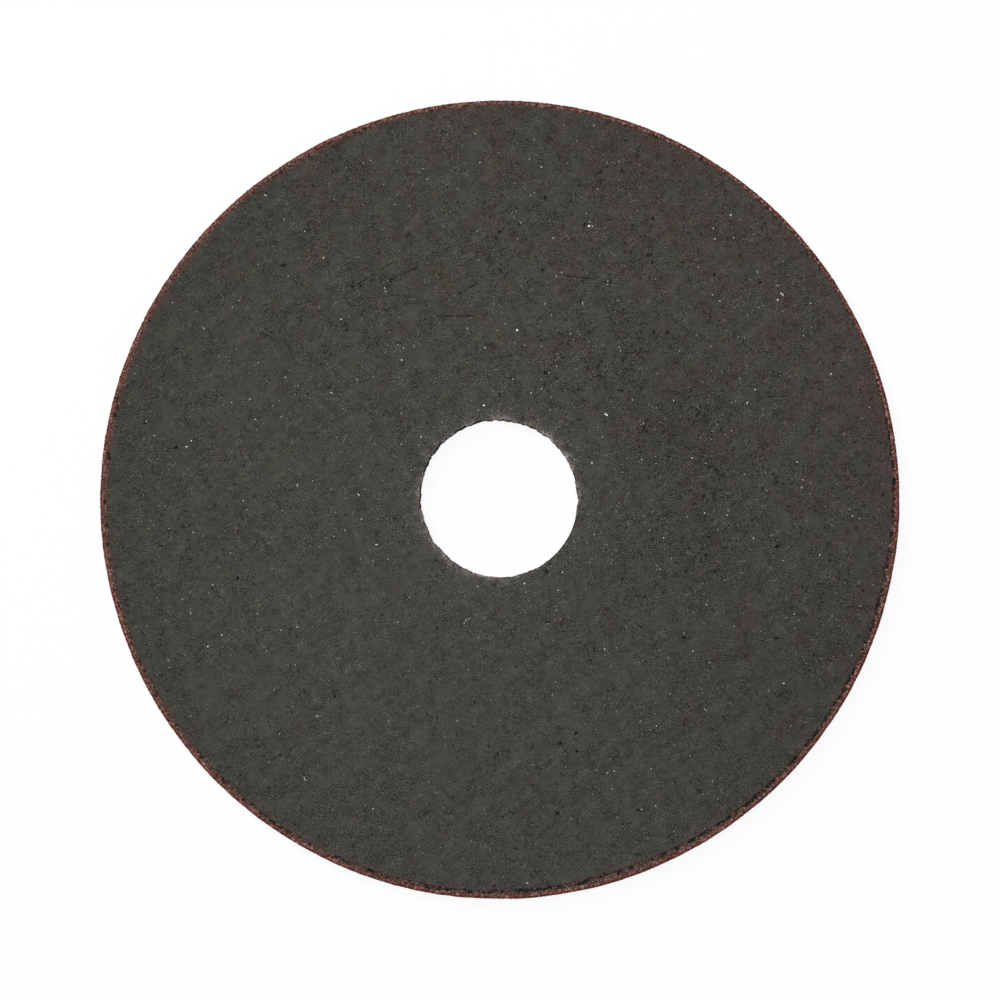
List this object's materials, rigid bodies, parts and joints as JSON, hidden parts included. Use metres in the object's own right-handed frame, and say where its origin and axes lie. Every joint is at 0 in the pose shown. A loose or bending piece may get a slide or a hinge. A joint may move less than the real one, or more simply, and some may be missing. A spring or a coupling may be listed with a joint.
{
  "type": "cut-off wheel",
  "caption": "Thin flat cut-off wheel of resin-bonded abrasive with dark woven facings, a bare red-brown rim and a plain arbor bore.",
  "frame": {"origin": "the point where the bore's axis meets the back face, on which the wheel lies", "axes": "+Z along the bore's axis, out of the front face; X and Y across the face, with +Y up in the picture"},
  "size_m": [0.1142, 0.1142, 0.0016],
  "materials": {
    "woven_facing": "matte",
    "bonded_abrasive": "matte"
  },
  "bodies": {
    "root": {"cutting_disc": "woven_facing"}
  },
  "joints": []
}
